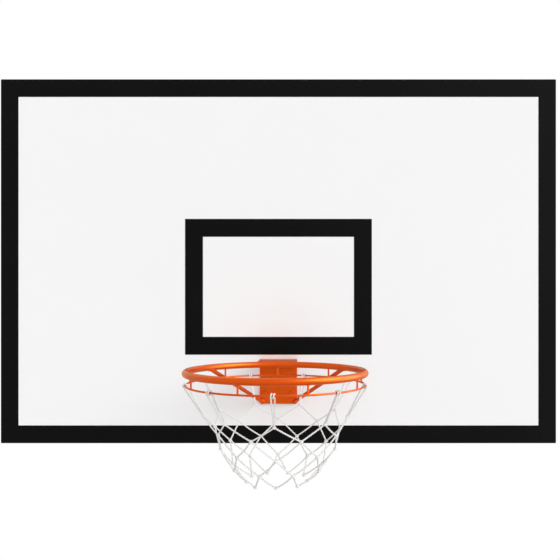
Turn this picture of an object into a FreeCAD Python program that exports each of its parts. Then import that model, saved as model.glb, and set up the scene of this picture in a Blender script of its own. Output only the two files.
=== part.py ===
import FreeCAD
import Part
import Sketcher
import math
import os

# Basketball backboard with its fixed rim and cord net, in millimetres.
# +Z is up, the playing face looks along -Y and +X is to the right of someone facing the board.
# The origin is the middle of the four support holes, in the rear plane of the mounting ears.

SIZES = {
    # plywood panel and the lines painted on its face
    "board_width": 1800,
    "board_height": 1180,
    "panel_thick": 20,
    "panel_bevel": 2,
    "film_thick": 0.4,
    "line_width": 58,
    "target_width": 605,
    "target_height": 440,
    "target_rise": 287,
    # welded frame of square tube behind the panel
    "tube_side": 40,
    "tube_wall": 3,
    "tube_round": 5,
    "frame_inset": 20,
    # ears that bolt to the support
    "support_spacing_across": 508,
    "support_spacing_up": 889,
    "support_hole": 13,
    "support_reach": 54,
    "ear_thick": 6,
    "ear_width": 105,
    "ear_height": 80,
    "ear_margin": 36,
    "ear_round": 14,
    # angle cleats and screws that hold the panel on the frame
    "cleat_leg": 34,
    "cleat_thick": 4,
    "cleat_length": 44,
    "cleat_hole": 6,
    "cleat_hole_reach": 20,
    "screw_shank": 5,
    "screw_length": 17,
    "screw_head": 11,
    "screw_head_tall": 3.4,
    "pilot_hole": 5.4,
    "pilot_deep": 14,
    # rim: ring, bracket, braces and the wire that carries the net
    "ring_inside": 450,
    "ring_bar": 18,
    "ring_gap": 151,
    "ring_rise": 276,
    "bracket_width": 120,
    "bracket_height": 145,
    "bracket_thick": 6,
    "bracket_bend": 5,
    "bracket_drop": 2,
    "bracket_corner": 6,
    "flange_tuck": 4,
    "brace_bar": 12,
    "brace_angle": 124,
    "brace_inset": 7,
    "brace_lift": 7,
    "brace_sink": 1.5,
    "net_wire": 5,
    "net_wire_drop": 31.5,
    "post_count": 9,
    # bolts through bracket, panel and backing plate
    "rim_spacing_across": 90,
    "rim_spacing_up": 90,
    "rim_bolt_top": 23,
    "rim_bolt_hole": 11,
    "rim_bolt_shank": 10,
    "rim_bolt_length": 50,
    "rim_bolt_flats": 17,
    "rim_bolt_head_tall": 6.4,
    "washer_outside": 20,
    "washer_bore": 10.6,
    "washer_thick": 2,
    "nut_bore": 10.4,
    "nut_tall": 8,
    "backing_width": 170,
    "backing_height": 130,
    "backing_thick": 8,
    # cord net
    "loop_count": 9,
    "cord_bar": 4,
    "knot_round": 5.8,
    "net_fall": 252,
    "cord_clearance": 0.3,
    "strand_spread": 2.2,
    # how far a cutting tool runs past what it cuts
    "overrun": 2,
}

# Radius of each row of knots as a share of the ring's radius, and its drop below the net wire
# as a share of the net's whole fall, from the top row down.
KNOT_RADIUS_SHARES = (0.8, 0.73, 0.645, 0.53, 0.35)
KNOT_FALL_SHARES = (0.3175, 0.472, 0.655, 0.842, 1.0)

# A knot's facets: how many there are round it, and the angles of its rings of corners in degrees.
KNOT_SIDES = 6
KNOT_LATITUDES = (-50, 0, 50)

# Places of the cleats: along the long rails, along the stiles and along the middle rails, each as
# a share of half of the board's width or height.
RAIL_CLEAT_SHARES = (-0.8, -0.32, 0.32, 0.8)
STILE_CLEAT_SHARES = (-0.5, 0.5)
MIDRAIL_CLEAT_SHARES = (-0.6, 0.6)

doc = FreeCAD.newDocument("backboard")
sheet = doc.addObject("Spreadsheet::Sheet", "dim")
for row, (alias, number) in enumerate(SIZES.items(), start=1):
    sheet.set(f"A{row}", alias)
    sheet.set(f"B{row}", str(number))
    sheet.setAlias(f"B{row}", alias)
doc.recompute()

X = FreeCAD.Vector(1, 0, 0)
Y = FreeCAD.Vector(0, 1, 0)
Z = FreeCAD.Vector(0, 0, 1)
ORIGIN = FreeCAD.Vector()

# Turns of a body whose sketch lies in its own XY plane: a plate that stands in the board's plane
# and grows towards the player, and a profile whose length runs up or across.
FACING = FreeCAD.Rotation(X, Z, -Y, "XYZ")
UP = FreeCAD.Rotation()
DOWN = FreeCAD.Rotation(-X, Y, -Z, "XYZ")
TO_RIGHT = FreeCAD.Rotation(-Z, Y, X, "XYZ")
TO_LEFT = FreeCAD.Rotation(Z, Y, -X, "XYZ")
BRACKET_TURN = FreeCAD.Rotation(-Y, Z, -X, "XYZ")

# Places that several pieces share, as expressions on the sheet.
PANEL_BACK = "(-dim.ear_thick - dim.tube_side)"
FACE = "(-dim.ear_thick - dim.tube_side - dim.panel_thick)"
BOARD_LEFT = "(-dim.board_width / 2)"
BOARD_FOOT = "(-dim.board_height / 2)"
FRAME_HALF_WIDTH = "(dim.board_width / 2 - dim.frame_inset)"
FRAME_HALF_HEIGHT = "(dim.board_height / 2 - dim.frame_inset)"
UPRIGHT_X = "(dim.support_spacing_across / 2 - dim.support_reach)"
RING_RADIUS = "(dim.ring_inside / 2 + dim.ring_bar / 2)"
RING_Y = f"({FACE} - dim.ring_gap - dim.ring_inside / 2)"
RING_Z = f"({BOARD_FOOT} + dim.ring_rise - dim.ring_bar / 2)"
WIRE_Z = f"({RING_Z} - dim.net_wire_drop)"
BRACKET_TOP = f"({BOARD_FOOT} + dim.ring_rise - dim.bracket_drop)"
BRACKET_FOOT = f"({BRACKET_TOP} - dim.bracket_height)"
BOLT_TOP = f"({BRACKET_TOP} - dim.rim_bolt_top)"
BOLT_FOOT = f"({BOLT_TOP} - dim.rim_spacing_up)"
BACKING_FOOT = f"(({BOLT_TOP} + {BOLT_FOOT} - dim.backing_height) / 2)"
BACKING_TOP = f"({BACKING_FOOT} + dim.backing_height)"
BACKING_REAR = f"({PANEL_BACK} + dim.backing_thick)"

nodes = []


def value(expression):
    """Number that an expression on the sheet gives."""
    return float(sheet.evalExpression(expression))


def size(alias):
    return float(sheet.get(alias))


def finished(label, piece):
    """Names a sub-part and puts it among those that are written out."""
    piece.Label = label
    nodes.append(piece)
    return piece


def place(piece, at, turn=UP):
    """Turns a piece and binds its place to the sheet."""
    piece.Placement = FreeCAD.Placement(ORIGIN, turn)
    for axis, expression in zip("xyz", at):
        piece.setExpression(f"Placement.Base.{axis}", expression)


def pin(sketch, geometry, vertex, corner):
    """Holds one point of a sketch at a place given by expressions."""
    for kind, axis, expression in zip(("DistanceX", "DistanceY"), (-2, -1), corner):
        if expression == "0":
            sketch.addConstraint(Sketcher.Constraint("PointOnObject", geometry, vertex, axis))
            continue
        rule = Sketcher.Constraint(kind, -1, 1, geometry, vertex, value(expression))
        index = sketch.addConstraint(rule)
        sketch.setExpression(f"Constraints[{index}]", expression)


def draw(body, name, plane, outlines=(), circles=()):
    """Sketch of closed outlines and circles on one of a body's own planes."""
    sketch = body.newObject("Sketcher::SketchObject", name)
    support = [f for f in body.Origin.OriginFeatures if f.Role == plane]
    sketch.AttachmentSupport = [(support[0], "")]
    sketch.MapMode = "FlatFace"
    for corners in outlines:
        first = sketch.GeometryCount
        points = [FreeCAD.Vector(value(x), value(y), 0) for x, y in corners]
        for start, end in zip(points, points[1:] + points[:1]):
            sketch.addGeometry(Part.LineSegment(start, end))
        for step, corner in enumerate(corners):
            following = first + (step + 1) % len(corners)
            sketch.addConstraint(Sketcher.Constraint("Coincident", first + step, 2, following, 1))
            pin(sketch, first + step, 1, corner)
    for x, y, radius in circles:
        centre = FreeCAD.Vector(value(x), value(y), 0)
        geometry = sketch.addGeometry(Part.Circle(centre, Z, value(radius)))
        pin(sketch, geometry, 3, (x, y))
        index = sketch.addConstraint(Sketcher.Constraint("Radius", geometry, value(radius)))
        sketch.setExpression(f"Constraints[{index}]", radius)
    return sketch


def padded(name, at, turn, length, outlines=(), circles=()):
    """Body made by padding a sketch in its own XY plane."""
    body = doc.addObject("PartDesign::Body", name)
    sketch = draw(body, f"{name}_profile", "XY_Plane", outlines, circles)
    pad = body.newObject("PartDesign::Pad", f"{name}_pad")
    pad.Profile = sketch
    pad.setExpression("Length", length)
    body.Tip = pad
    place(body, at, turn)
    doc.recompute()
    return body


def pocketed(body, sketch, into_pad=False, depth=None):
    """Pocket in a body, through all of it unless a depth is given."""
    pocket = body.newObject("PartDesign::Pocket", f"{sketch.Name}_pocket")
    pocket.Profile = sketch
    pocket.Reversed = into_pad
    if depth:
        pocket.setExpression("Length", depth)
    else:
        pocket.Type = "ThroughAll"
    body.Tip = pocket
    before = pocket.BaseFeature.Shape.Volume
    doc.recompute()
    if not pocket.Shape.Volume < before:
        raise ValueError(f"{pocket.Name} cuts nothing")
    return pocket


def eased(body, kind, size_name, radius, wanted):
    """Fillet or chamfer on those edges of a body's tip that are wanted."""
    tip = body.Tip
    names = [f"Edge{i}" for i, edge in enumerate(tip.Shape.Edges, start=1) if wanted(edge)]
    feature = body.newObject(f"PartDesign::{kind}", f"{body.Name}_{kind.lower()}")
    feature.Base = (tip, names)
    feature.setExpression(size_name, radius)
    body.Tip = feature
    doc.recompute()
    return feature


def at_corner(x, y):
    """Test for the edges that run along a pad at one corner of its profile."""
    def wanted(edge):
        return all(
            math.isclose(v.X, value(x), abs_tol=1e-6) and math.isclose(v.Y, value(y), abs_tol=1e-6)
            for v in edge.Vertexes
        )
    return wanted


def rectangle(x, y, width, height):
    right = f"{x} + {width}"
    top = f"{y} + {height}"
    if x == "0":
        right = width
    if y == "0":
        top = height
    return [(x, y), (right, y), (right, top), (x, top)]


def joined(kind, name, first, second):
    """Part::Cut, Part::Fuse or Part::Common of two objects."""
    piece = doc.addObject(f"Part::{kind}", name)
    piece.Base = first
    piece.Tool = second
    doc.recompute()
    return piece


def by_code(name, shape):
    piece = doc.addObject("Part::Feature", name)
    piece.Shape = shape
    return piece


def copies(shape, placements):
    """Compound of one shape set down at several placements."""
    placed = []
    for placement in placements:
        copy = shape.copy()
        copy.Placement = placement.multiply(copy.Placement)
        placed.append(copy)
    return Part.makeCompound(placed)


def rim_bolt_places():
    """Middle of each rim bolt across and up the board."""
    half = size("rim_spacing_across") / 2
    return [(x, z) for z in (value(BOLT_TOP), value(BOLT_FOOT)) for x in (-half, half)]


def cleat_places():
    """Corner where each cleat's legs meet, and the way in which its panel leg points."""
    half_width = size("board_width") / 2
    half_height = size("board_height") / 2
    inner_x = value(FRAME_HALF_WIDTH) - size("tube_side")
    inner_z = value(FRAME_HALF_HEIGHT) - size("tube_side")
    found = []
    for share in RAIL_CLEAT_SHARES:
        found.append((share * half_width, inner_z, -Z))
        found.append((share * half_width, -inner_z, Z))
    for share in STILE_CLEAT_SHARES:
        found.append((inner_x, share * half_height, -X))
        found.append((-inner_x, share * half_height, X))
    for share in MIDRAIL_CLEAT_SHARES:
        found.append((share * half_width, size("tube_side") / 2, Z))
        found.append((share * half_width, -size("tube_side") / 2, -Z))
    return found


def screw_places():
    """Middle of each cleat's screw, on the back of the panel."""
    found = []
    for x, z, way in cleat_places():
        middle = FreeCAD.Vector(x, value(PANEL_BACK), z) + way * size("cleat_hole_reach")
        found.append(middle)
    return found


def make_panel():
    body = padded(
        "panel",
        (BOARD_LEFT, PANEL_BACK, BOARD_FOOT),
        FACING,
        "dim.panel_thick",
        [rectangle("0", "0", "dim.board_width", "dim.board_height")],
    )
    eased(body, "Chamfer", "Size", "dim.panel_bevel", lambda edge: True)
    bolts = [
        (f"dim.board_width / 2 {side} dim.rim_spacing_across / 2", f"{row} - {BOARD_FOOT}",
         "dim.rim_bolt_hole / 2")
        for row in (BOLT_TOP, BOLT_FOOT)
        for side in "-+"
    ]
    pocketed(body, draw(body, "panel_bolt_holes", "XY_Plane", (), bolts), into_pad=True)
    pilot = doc.addObject("Part::Cylinder", "pilot_drill")
    pilot.setExpression("Radius", "dim.pilot_hole / 2")
    pilot.setExpression("Height", "dim.pilot_deep + dim.overrun")
    place(pilot, ("0", "dim.overrun", "0"), FACING)
    doc.recompute()
    drills = by_code(
        "pilot_drills",
        copies(pilot.Shape, [FreeCAD.Placement(p, FreeCAD.Rotation()) for p in screw_places()]),
    )
    return finished("board_panel", joined("Cut", "drilled_panel", body, drills))


def make_lines():
    inset = "dim.panel_bevel"
    outer = rectangle(inset, inset, f"dim.board_width - 2 * {inset}", f"dim.board_height - 2 * {inset}")
    inner = rectangle(
        "dim.line_width", "dim.line_width",
        "dim.board_width - 2 * dim.line_width", "dim.board_height - 2 * dim.line_width",
    )
    border = padded(
        "border", (BOARD_LEFT, FACE, BOARD_FOOT), FACING, "dim.film_thick", [outer, inner]
    )
    finished("border_lines", border)
    target = padded(
        "target",
        ("-dim.target_width / 2", FACE, f"{BOARD_FOOT} + dim.target_rise"),
        FACING,
        "dim.film_thick",
        [
            rectangle("0", "0", "dim.target_width", "dim.target_height"),
            rectangle(
                "dim.line_width", "dim.line_width",
                "dim.target_width - 2 * dim.line_width", "dim.target_height - 2 * dim.line_width",
            ),
        ],
    )
    finished("target_lines", target)


def make_tube(label, at, turn, length, mitred=False):
    """Square tube with round corners, its ends square or mitred towards its far side."""
    side = "dim.tube_side"
    bore = f"{side} - 2 * dim.tube_wall"
    body = padded(
        f"{label}_tube",
        at,
        turn,
        length,
        [rectangle("0", "0", side, side), rectangle("dim.tube_wall", "dim.tube_wall", bore, bore)],
    )
    corners = [at_corner(x, y) for x in ("0", side) for y in ("0", side)]
    eased(body, "Fillet", "Radius", "dim.tube_round", lambda edge: any(c(edge) for c in corners))
    if mitred:
        far = f"{side} + dim.overrun"
        ends = [
            [("-dim.overrun", "-dim.overrun"), (far, "-dim.overrun"), (far, far)],
            [
                ("-dim.overrun", f"{length} + dim.overrun"),
                (far, f"{length} - {side} - dim.overrun"),
                (far, f"{length} + dim.overrun"),
            ],
        ]
        pocketed(body, draw(body, f"{label}_mitres", "XZ_Plane", ends))
    return finished(label, body)


def make_frame():
    wide = f"2 * {FRAME_HALF_WIDTH}"
    tall = f"2 * {FRAME_HALF_HEIGHT}"
    left = f"-{FRAME_HALF_WIDTH}"
    foot = f"-{FRAME_HALF_HEIGHT}"
    make_tube("frame_left_stile", (left, PANEL_BACK, foot), UP, tall, mitred=True)
    make_tube(
        "frame_right_stile", (FRAME_HALF_WIDTH, PANEL_BACK, FRAME_HALF_HEIGHT), DOWN, tall, mitred=True
    )
    make_tube("frame_top_rail", (left, PANEL_BACK, FRAME_HALF_HEIGHT), TO_RIGHT, wide, mitred=True)
    make_tube("frame_bottom_rail", (FRAME_HALF_WIDTH, PANEL_BACK, foot), TO_LEFT, wide, mitred=True)
    inner_foot = f"{foot} + dim.tube_side"
    inner_tall = f"{tall} - 2 * dim.tube_side"
    reach = f"{FRAME_HALF_WIDTH} - 1.5 * dim.tube_side - {UPRIGHT_X}"
    mid_top = "dim.tube_side / 2"
    make_tube(
        "frame_left_upright",
        (f"-{UPRIGHT_X} - dim.tube_side / 2", PANEL_BACK, inner_foot),
        UP,
        inner_tall,
    )
    make_tube(
        "frame_right_upright",
        (f"{UPRIGHT_X} - dim.tube_side / 2", PANEL_BACK, inner_foot),
        UP,
        inner_tall,
    )
    make_tube(
        "frame_left_midrail", (f"{left} + dim.tube_side", PANEL_BACK, mid_top), TO_RIGHT, reach
    )
    make_tube(
        "frame_right_midrail",
        (f"{UPRIGHT_X} + dim.tube_side / 2", PANEL_BACK, mid_top),
        TO_RIGHT,
        reach,
    )
    bar_left = f"-{UPRIGHT_X} + dim.tube_side / 2"
    bar_length = f"2 * {UPRIGHT_X} - dim.tube_side"
    make_tube(
        "goal_crossbar_upper",
        (bar_left, PANEL_BACK, f"{BACKING_TOP} + dim.tube_side"),
        TO_RIGHT,
        bar_length,
    )
    make_tube("goal_crossbar_lower", (bar_left, PANEL_BACK, BACKING_FOOT), TO_RIGHT, bar_length)


def make_backing_plate():
    holes = [
        (f"dim.backing_width / 2 {side} dim.rim_spacing_across / 2", f"{row} - {BACKING_FOOT}",
         "dim.rim_bolt_hole / 2")
        for row in (BOLT_TOP, BOLT_FOOT)
        for side in "-+"
    ]
    plate = padded(
        "backing",
        ("-dim.backing_width / 2", BACKING_REAR, BACKING_FOOT),
        FACING,
        "dim.backing_thick",
        [rectangle("0", "0", "dim.backing_width", "dim.backing_height")],
        holes,
    )
    finished("goal_mounting_plate", plate)


def make_ear(label, side, rise):
    """Plate on an upright's back, with one support hole in the part that stands out sideways."""
    inner = "dim.ear_width - dim.ear_margin"
    if side == "right":
        left = f"dim.support_spacing_across / 2 - ({inner})"
        hole, outer_edge = inner, "dim.ear_width"
    else:
        left = "-dim.support_spacing_across / 2 - dim.ear_margin"
        hole, outer_edge = "dim.ear_margin", "0"
    ear = padded(
        f"{label}_plate",
        (left, "0", f"{rise} - dim.ear_height / 2"),
        FACING,
        "dim.ear_thick",
        [rectangle("0", "0", "dim.ear_width", "dim.ear_height")],
        [(hole, "dim.ear_height / 2", "dim.support_hole / 2")],
    )
    corners = [at_corner(outer_edge, y) for y in ("0", "dim.ear_height")]
    eased(ear, "Fillet", "Radius", "dim.ear_round", lambda edge: any(c(edge) for c in corners))
    finished(label, ear)


def make_ears():
    for level, rise in (("upper", "dim.support_spacing_up / 2"), ("lower", "-dim.support_spacing_up / 2")):
        for side in ("left", "right"):
            make_ear(f"mount_ear_{level}_{side}", side, rise)


def make_cleats():
    """Angle cleats: one leg flat on the panel, the other welded to a tube's side."""
    leg = "dim.cleat_leg"
    thick = "dim.cleat_thick"
    profile = [("0", "0"), (leg, "0"), (leg, thick), (thick, thick), (thick, leg), ("0", leg)]
    cleat = padded("cleat", ("0", "0", "-dim.cleat_length / 2"), UP, "dim.cleat_length", [profile])
    hole = [("dim.cleat_hole_reach", "dim.cleat_length / 2", "dim.cleat_hole / 2")]
    pocketed(cleat, draw(cleat, "cleat_screw_hole", "XZ_Plane", (), hole))
    placements = []
    for x, z, way in cleat_places():
        corner = FreeCAD.Vector(x, value(PANEL_BACK), z)
        placements.append(FreeCAD.Placement(corner, FreeCAD.Rotation(way, Y, way.cross(Y), "XYZ")))
    finished("fixing_cleats", by_code("cleats", copies(cleat.Shape, placements)))


def make_screws():
    """Screws from behind, through the cleats and into blind holes in the panel."""
    body = doc.addObject("PartDesign::Body", "screw")
    shank = "dim.screw_shank / 2"
    profile = [
        ("0", "-dim.screw_length"),
        (shank, "-dim.screw_length"),
        (shank, "0"),
        ("dim.screw_head / 2", "0"),
        ("dim.screw_head / 2", "dim.screw_head_tall"),
        ("0", "dim.screw_head_tall"),
    ]
    sketch = draw(body, "screw_profile", "XZ_Plane", [profile])
    turned = body.newObject("PartDesign::Revolution", "screw_turned")
    turned.Profile = sketch
    turned.ReferenceAxis = (sketch, ["V_Axis"])
    body.Tip = turned
    doc.recompute()
    backwards = FreeCAD.Rotation(X, -Z, Y, "XYZ")
    seat = Y * size("cleat_thick")
    placements = [FreeCAD.Placement(p + seat, backwards) for p in screw_places()]
    finished("cleat_screws", by_code("screws", copies(body.Shape, placements)))


def torus(label, bar, z):
    """Round bar or wire bent to a ring round the hoop's axis."""
    ring = doc.addObject("Part::Torus", f"{label}_bar")
    ring.setExpression("Radius1", RING_RADIUS)
    ring.setExpression("Radius2", f"{bar} / 2")
    place(ring, ("0", RING_Y, z))
    doc.recompute()
    return finished(label, ring)


def make_bracket(ring):
    """Plate bent to an angle: its back bolts to the board, its flange meets the ring's bar."""
    thick = "dim.bracket_thick"
    tall = "dim.bracket_height"
    reach = "dim.ring_gap - dim.ring_bar / 2 + dim.flange_tuck"
    under = f"{tall} - {thick}"
    profile = [("0", "0"), (thick, "0"), (thick, under), (reach, under), (reach, tall), ("0", tall)]
    wide = "dim.bracket_width"
    body = padded("bracket", (f"{wide} / 2", FACE, BRACKET_FOOT), BRACKET_TURN, wide, [profile])
    eased(body, "Fillet", "Radius", "dim.bracket_bend", at_corner(thick, under))
    eased(body, "Fillet", "Radius", f"dim.bracket_bend + {thick}", at_corner("0", tall))

    def lower_corner(edge):
        across = all(math.isclose(v.Y, 0, abs_tol=1e-6) for v in edge.Vertexes)
        return across and math.isclose(edge.Length, size("bracket_thick"))

    eased(body, "Fillet", "Radius", "dim.bracket_corner", lower_corner)
    holes = [
        (f"{row} - {BRACKET_FOOT}", f"dim.bracket_width / 2 {side} dim.rim_spacing_across / 2",
         "dim.rim_bolt_hole / 2")
        for row in (BOLT_TOP, BOLT_FOOT)
        for side in "-+"
    ]
    pocketed(body, draw(body, "bracket_bolt_holes", "YZ_Plane", (), holes), into_pad=True)
    return finished("rim_bracket", joined("Cut", "coped_bracket", body, ring))


def on_ring(angle, radius, z):
    """Point round the hoop's axis, its angle in degrees from the front towards the right."""
    way = math.radians(angle)
    return FreeCAD.Vector(radius * math.sin(way), value(RING_Y) - radius * math.cos(way), z)


def bar_between(start, end, bar):
    return Part.makeCylinder(bar / 2, (end - start).Length, start, end - start)


def make_braces(ring, bracket):
    """Round bars from the foot of the bracket up to the ring, coped to both."""
    foot_x = size("bracket_width") / 2 - size("brace_inset")
    foot_y = value(FACE) - size("bracket_thick") + size("brace_sink")
    foot_z = value(BRACKET_FOOT) + size("brace_lift")
    for label, side in (("rim_brace_left", -1), ("rim_brace_right", 1)):
        foot = FreeCAD.Vector(side * foot_x, foot_y, foot_z)
        head = on_ring(side * size("brace_angle"), value(RING_RADIUS), value(RING_Z))
        bar = bar_between(foot, head, size("brace_bar"))
        finished(label, by_code(f"{label}_bar", bar.cut([ring.Shape, bracket.Shape]).Solids[0]))


def make_posts(ring, wire):
    """Short wires that hang the net wire under the ring, half-way between the net's loops."""
    step = 360 / size("post_count")
    top = on_ring(step / 2, value(RING_RADIUS), value(RING_Z))
    foot = on_ring(step / 2, value(RING_RADIUS), value(WIRE_Z))
    post = bar_between(foot, top, size("net_wire")).cut([ring.Shape, wire.Shape]).Solids[0]
    axis = FreeCAD.Vector(0, value(RING_Y), 0)
    placements = [
        FreeCAD.Placement(ORIGIN, FreeCAD.Rotation(Z, count * step), axis)
        for count in range(int(size("post_count")))
    ]
    finished("net_wire_posts", by_code("posts", copies(post, placements)))


def hexagon(name, flats, tall):
    """Hexagon blank whose outer end is chamfered by a cone."""
    prism = doc.addObject("Part::Prism", f"{name}_prism")
    prism.Polygon = 6
    prism.setExpression("Circumradius", f"{flats} / 2 / cos(30)")
    prism.setExpression("Height", tall)
    cone = doc.addObject("Part::Cone", f"{name}_cone")
    cone.setExpression("Radius1", f"{flats} / 2 + {tall} / tan(30)")
    cone.setExpression("Radius2", f"{flats} / 2")
    cone.setExpression("Height", tall)
    return joined("Common", f"{name}_blank", prism, cone)


def cylinder(name, radius, at, height):
    piece = doc.addObject("Part::Cylinder", name)
    piece.setExpression("Radius", radius)
    piece.setExpression("Height", height)
    place(piece, at)
    return piece


def make_rim_fasteners():
    """Bolts from the front, with washers and nuts behind the backing plate."""
    head = hexagon("rim_bolt_head", "dim.rim_bolt_flats", "dim.rim_bolt_head_tall")
    shank = cylinder(
        "rim_bolt_stem", "dim.rim_bolt_shank / 2", ("0", "0", "-dim.rim_bolt_length"), "dim.rim_bolt_length"
    )
    bolt = joined("Fuse", "rim_bolt", head, shank)
    disc = cylinder("washer_disc", "dim.washer_outside / 2", ("0", "0", "0"), "dim.washer_thick")
    below = ("0", "0", "-dim.overrun")
    bore = cylinder("washer_hole", "dim.washer_bore / 2", below, "dim.washer_thick + 2 * dim.overrun")
    washer = joined("Cut", "washer", disc, bore)
    blank = hexagon("nut", "dim.rim_bolt_flats", "dim.nut_tall")
    thread = cylinder("nut_hole", "dim.nut_bore / 2", below, "dim.nut_tall + 2 * dim.overrun")
    nut = joined("Cut", "nut", blank, thread)
    forwards = FACING
    backwards = FreeCAD.Rotation(X, -Z, Y, "XYZ")
    plate_front = value(FACE) - size("bracket_thick")
    plate_rear = value(BACKING_REAR)
    for label, piece, depth, turn in (
        ("rim_bolts", bolt, plate_front, forwards),
        ("rim_washers", washer, plate_rear, backwards),
        ("rim_nuts", nut, plate_rear + size("washer_thick"), backwards),
    ):
        placements = [
            FreeCAD.Placement(FreeCAD.Vector(x, depth, z), turn) for x, z in rim_bolt_places()
        ]
        finished(label, by_code(f"{label}_group", copies(piece.Shape, placements)))


def knot_rows():
    """Middles of the net's knots, row by row: every other row sits half a step round."""
    step = 360 / size("loop_count")
    rows = []
    for row, (radius_share, fall_share) in enumerate(zip(KNOT_RADIUS_SHARES, KNOT_FALL_SHARES)):
        radius = radius_share * value(RING_RADIUS)
        z = value(WIRE_Z) - fall_share * size("net_fall")
        turn = step / 2 * (row % 2)
        rows.append([on_ring(turn + count * step, radius, z) for count in range(int(size("loop_count")))])
    return rows


def make_knot(middle, reach):
    """Tied knot: a ball of flat facets, with its two ends towards and away from the hoop's axis."""
    outwards = FreeCAD.Vector(middle.x, middle.y - value(RING_Y), 0).normalize()
    turn = FreeCAD.Rotation(outwards.cross(Z), Z, outwards, "ZXY")
    rings = []
    for latitude in KNOT_LATITUDES:
        radius = reach * math.cos(math.radians(latitude))
        height = reach * math.sin(math.radians(latitude))
        ways = [math.tau * side / KNOT_SIDES for side in range(KNOT_SIDES)]
        rings.append([
            middle + turn.multVec(FreeCAD.Vector(radius * math.cos(way), radius * math.sin(way), height))
            for way in ways
        ])
    outlines = [rings[0], rings[-1]]
    for lower, upper in zip(rings, rings[1:]):
        for side in range(KNOT_SIDES):
            after = (side + 1) % KNOT_SIDES
            outlines.append([lower[side], lower[after], upper[after], upper[side]])
    faces = [Part.Face(Part.makePolygon(outline + outline[:1])) for outline in outlines]
    return Part.makeSolid(Part.makeShell(faces))


def make_loops():
    """Loops of cord over the net wire, each with both its strands down to one knot."""
    top = on_ring(0, value(RING_RADIUS), value(WIRE_Z))
    knot = knot_rows()[0][0]
    down = (knot - top).normalize()
    across = down.cross(X)
    hold = size("net_wire") / 2 + size("cord_clearance") + size("cord_bar") / 2
    length = (knot - top).Length
    spread = size("strand_spread")
    lean = math.atan2(spread, length) + math.acos(hold / math.hypot(spread, length))

    def spot(along, sideways):
        return top + down * along + across * sideways

    ends = [spot(length, side * spread) for side in (1, -1)]
    touch = [spot(hold * math.cos(lean), side * hold * math.sin(lean)) for side in (1, -1)]
    path = Part.Wire([
        Part.makeLine(ends[0], touch[0]),
        Part.Arc(touch[0], spot(-hold, 0), touch[1]).toShape(),
        Part.makeLine(touch[1], ends[1]),
    ])
    profile = Part.Wire(Part.makeCircle(size("cord_bar") / 2, ends[0], touch[0] - ends[0]))
    room = make_knot(knot, size("knot_round") + size("cord_clearance"))
    loop = path.makePipeShell([profile], True, False).cut(room).Solids[0]
    axis = FreeCAD.Vector(0, value(RING_Y), 0)
    count = int(size("loop_count"))
    placements = [
        FreeCAD.Placement(ORIGIN, FreeCAD.Rotation(Z, turn * 360 / count), axis) for turn in range(count)
    ]
    finished("net_top_loops", by_code("loops", copies(loop, placements)))


def make_mesh():
    """Diamond mesh of the net: straight cords between rows of knots."""
    rows = knot_rows()
    bar = size("cord_bar")
    solids = [make_knot(knot, size("knot_round")) for row in rows for knot in row]
    for index, (upper, lower) in enumerate(zip(rows, rows[1:])):
        back = -1 if index % 2 == 0 else 1
        for count, knot in enumerate(upper):
            for neighbour in (count, count + back):
                solids.append(bar_between(knot, lower[neighbour % len(lower)], bar))
    mesh = solids[0].multiFuse(solids[1:])
    finished("net_mesh", by_code("mesh", mesh.Solids[0]))


make_panel()
make_lines()
make_frame()
make_backing_plate()
make_ears()
make_cleats()
make_screws()
ring = torus("rim_ring", "dim.ring_bar", RING_Z)
bracket = make_bracket(ring)
make_braces(ring, bracket)
wire = torus("net_wire", "dim.net_wire", WIRE_Z)
make_posts(ring, wire)
make_rim_fasteners()
make_loops()
make_mesh()
doc.recompute()

for piece in doc.Objects:
    if {"Invalid", "Error"} & set(piece.State):
        raise ValueError(f"{piece.Label} did not rebuild: {piece.State}")
os.makedirs("parts", exist_ok=True)
for piece in nodes:
    if piece.Shape.isNull() or not piece.Shape.isValid():
        raise ValueError(f"{piece.Label} has no sound shape")
    piece.Shape.exportStep(os.path.join("parts", f"{piece.Label}.step"))
    print(f"{piece.Label}: {len(piece.Shape.Solids)} solid(s), {piece.Shape.Volume / 1000:.1f} cm3")
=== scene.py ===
import bpy
import math
import random
from mathutils import Matrix, Vector


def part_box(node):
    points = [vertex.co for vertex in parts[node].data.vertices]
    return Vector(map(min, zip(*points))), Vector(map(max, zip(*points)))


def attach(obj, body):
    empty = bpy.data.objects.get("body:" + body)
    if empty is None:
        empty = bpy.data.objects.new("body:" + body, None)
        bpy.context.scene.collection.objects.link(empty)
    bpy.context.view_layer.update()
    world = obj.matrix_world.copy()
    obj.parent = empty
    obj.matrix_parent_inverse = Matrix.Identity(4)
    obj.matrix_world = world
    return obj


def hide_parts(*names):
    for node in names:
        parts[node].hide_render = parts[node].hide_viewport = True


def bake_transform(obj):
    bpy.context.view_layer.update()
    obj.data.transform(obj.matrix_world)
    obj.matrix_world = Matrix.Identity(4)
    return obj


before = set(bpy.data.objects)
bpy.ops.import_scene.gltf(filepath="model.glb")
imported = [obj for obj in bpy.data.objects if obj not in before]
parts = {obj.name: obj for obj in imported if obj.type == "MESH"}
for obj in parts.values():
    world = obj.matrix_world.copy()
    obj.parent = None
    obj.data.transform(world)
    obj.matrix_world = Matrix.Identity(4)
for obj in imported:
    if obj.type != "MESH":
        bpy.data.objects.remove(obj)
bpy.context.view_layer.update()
print("frame loaded with", len(parts), "nodes")


# shader helpers

def addNode(tree, kind, **values):
    node = tree.nodes.new(kind)
    for key, value in values.items():
        setattr(node, key, value)
    return node


def mathNode(tree, operation, first, second=None, clamp=False):
    node = addNode(tree, "ShaderNodeMath", operation=operation, use_clamp=clamp)
    for slot, source in enumerate((first, second)):
        if source is None:
            continue
        if isinstance(source, (int, float)):
            node.inputs[slot].default_value = source
        else:
            tree.links.new(source, node.inputs[slot])
    return node.outputs[0]


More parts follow.
